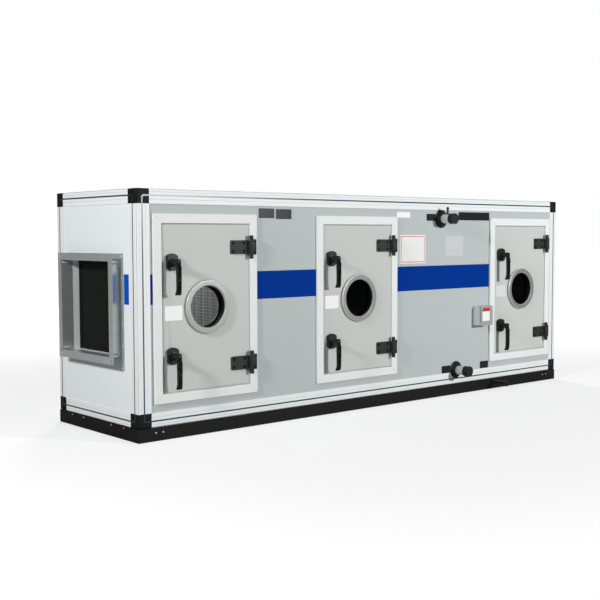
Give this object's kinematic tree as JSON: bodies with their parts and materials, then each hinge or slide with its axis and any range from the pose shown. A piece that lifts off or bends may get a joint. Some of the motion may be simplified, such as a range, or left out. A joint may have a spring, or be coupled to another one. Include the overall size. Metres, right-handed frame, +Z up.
{
  "type": "air handling unit",
  "caption": "Long floor-standing air handling unit with a black corner frame, blue band, hinged porthole doors with lever handles, side water pipes and a square duct collar at each end.",
  "frame": {"origin": "centre of the base's underside, on the middle cross member", "axes": "+X along the cabinet from the inlet end to the outlet end, +Y from the door side to the back, +Z up"},
  "size_m": [2.612, 0.693, 0.92],
  "materials": {
    "base_steel": "satin black paint",
    "frame_profile": "white coated aluminium",
    "corner_plastic": "black moulded nylon",
    "trim_blue": "blue insert strip",
    "panel_grey": "light grey coated sheet",
    "panel_white": "white coated sheet",
    "band_blue": "blue film",
    "door_frame_white": "white powder coat",
    "leaf_grey": "light grey coated sheet",
    "ring_satin": "satin grey",
    "liner_black": "black plastic",
    "pane": "clear pane",
    "hinge_black": "black moulded nylon",
    "handle_black": "black moulded nylon",
    "pipe_zinc": "galvanised steel",
    "rosette_rubber": "black rubber",
    "cap_plastic": "black plastic cap",
    "vent_brass": "nickel plated brass",
    "drain_plastic": "black plastic",
    "pan_steel": "galvanised sheet",
    "box_plastic": "light grey plastic",
    "collar_zinc": "galvanised sheet",
    "inlet_mesh": "black nylon mesh",
    "filter_sheet": "pleated filter sheet behind wire",
    "coil_fins": "aluminium fins",
    "fan_wall_steel": "galvanised sheet",
    "wheel_steel": "grey paint",
    "motor_paint": "blue grey paint"
  },
  "bodies": {
    "cabinet": {"base_rails": "base_steel", "base_cross_members": "base_steel", "corner_posts": "frame_profile", "long_rails": "frame_profile", "end_rails": "frame_profile", "corner_blocks": "corner_plastic", "trim_lines": "trim_blue", "floor_panel": "panel_grey", "top_panel": "panel_white", "back_panels": "panel_white", "left_end_panel": "panel_white", "right_end_panel": "panel_white", "front_panels": "panel_grey", "front_panels_at_doors": "panel_grey", "blue_band": "band_blue", "door_frame_1": "door_frame_white", "door_frame_2": "door_frame_white", "door_frame_3": "door_frame_white", "frame_hinges": "hinge_black", "water_pipes": "pipe_zinc", "pipe_rosettes": "rosette_rubber", "pipe_caps": "cap_plastic", "air_vent": "vent_brass", "drain_pipe": "drain_plastic", "drain_pan": "pan_steel", "switch_box": "box_plastic", "duct_collars": "collar_zinc", "inlet_filter": "inlet_mesh", "filter_bank": "filter_sheet", "coil": "coil_fins", "fan_wall": "fan_wall_steel", "fan_wheel": "wheel_steel", "fan_motor": "motor_paint"},
    "door_1": {"door_leaf_1": "leaf_grey", "porthole_ring_1": "ring_satin", "porthole_liner_1": "liner_black", "porthole_glass_1": "pane", "hinge_plates_1": "hinge_black", "handle_bases_1": "handle_black"},
    "door_2": {"door_leaf_2": "leaf_grey", "porthole_ring_2": "ring_satin", "porthole_liner_2": "liner_black", "porthole_glass_2": "pane", "hinge_plates_2": "hinge_black", "handle_bases_2": "handle_black"},
    "door_3": {"door_leaf_3": "leaf_grey", "porthole_ring_3": "ring_satin", "porthole_liner_3": "liner_black", "porthole_glass_3": "pane", "hinge_plates_3": "hinge_black", "handle_bases_3": "handle_black"},
    "handle_1_upper": {"handle_1_upper": "handle_black"},
    "handle_1_lower": {"handle_1_lower": "handle_black"},
    "handle_2_upper": {"handle_2_upper": "handle_black"},
    "handle_2_lower": {"handle_2_lower": "handle_black"},
    "handle_3_upper": {"handle_3_upper": "handle_black"},
    "handle_3_lower": {"handle_3_lower": "handle_black"}
  },
  "joints": [
    {"name": "door_1_swing", "type": "hinge", "parent": "cabinet", "child": "door_1", "pos_m": [-0.755, -0.318, 0.481], "axis": [0, 0, 1], "range_deg": [0, 110]},
    {"name": "door_2_swing", "type": "hinge", "parent": "cabinet", "child": "door_2", "pos_m": [0.03548, -0.318, 0.481], "axis": [0, 0, 1], "range_deg": [0, 110]},
    {"name": "door_3_swing", "type": "hinge", "parent": "cabinet", "child": "door_3", "pos_m": [1.158, -0.318, 0.481], "axis": [0, 0, 1], "range_deg": [0, 110]},
    {"name": "handle_1_upper_turn", "type": "hinge", "parent": "door_1", "child": "handle_1_upper", "pos_m": [-1.116, -0.304, 0.653], "axis": [0, -1, 0], "range_deg": [0, 90]},
    {"name": "handle_1_lower_turn", "type": "hinge", "parent": "door_1", "child": "handle_1_lower", "pos_m": [-1.116, -0.304, 0.308], "axis": [0, -1, 0], "range_deg": [0, 90]},
    {"name": "handle_2_upper_turn", "type": "hinge", "parent": "door_2", "child": "handle_2_upper", "pos_m": [-0.32552, -0.304, 0.653], "axis": [0, -1, 0], "range_deg": [0, 90]},
    {"name": "handle_2_lower_turn", "type": "hinge", "parent": "door_2", "child": "handle_2_lower", "pos_m": [-0.32552, -0.304, 0.308], "axis": [0, -1, 0], "range_deg": [0, 90]},
    {"name": "handle_3_upper_turn", "type": "hinge", "parent": "door_3", "child": "handle_3_upper", "pos_m": [0.797, -0.304, 0.653], "axis": [0, -1, 0], "range_deg": [0, 90]},
    {"name": "handle_3_lower_turn", "type": "hinge", "parent": "door_3", "child": "handle_3_lower", "pos_m": [0.797, -0.304, 0.308], "axis": [0, -1, 0], "range_deg": [0, 90]}
  ]
}
